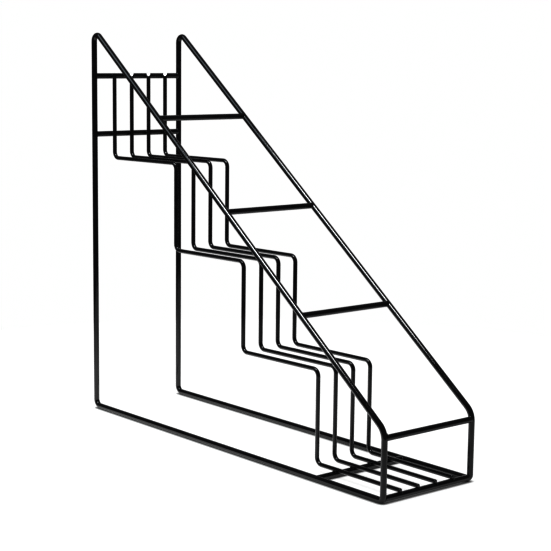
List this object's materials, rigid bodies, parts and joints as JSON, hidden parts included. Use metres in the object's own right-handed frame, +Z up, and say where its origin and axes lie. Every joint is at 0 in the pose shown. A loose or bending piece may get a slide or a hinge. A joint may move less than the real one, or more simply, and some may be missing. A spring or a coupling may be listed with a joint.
{
  "type": "brochure rack",
  "caption": "Tiered wire brochure rack: two sloping side frames joined by cross bars, with stepped wires forming a rising row of open pockets.",
  "frame": {"origin": "on the ground, under the middle of the rack", "axes": "+Z up, -Y towards the low front end, +X to the right for someone facing the front"},
  "size_m": [0.105, 0.41, 0.3658],
  "materials": {
    "frame_wire": "glossy black coating over bent steel wire",
    "bar_wire": "glossy black coating over straight steel wire",
    "step_wire": "glossy black coating over thinner bent steel wire"
  },
  "bodies": {
    "root": {"side_frame_left": "frame_wire", "side_frame_right": "frame_wire", "rear_rung_top": "bar_wire", "rear_rung_lower": "bar_wire", "slope_bar_1": "bar_wire", "slope_bar_2": "bar_wire", "slope_bar_3": "bar_wire", "front_bar_top": "bar_wire", "front_bar_floor": "bar_wire", "rear_bar_floor": "bar_wire", "stepped_wire_1": "step_wire", "stepped_wire_2": "step_wire", "stepped_wire_3": "step_wire", "stepped_wire_4": "step_wire"}
  },
  "joints": []
}
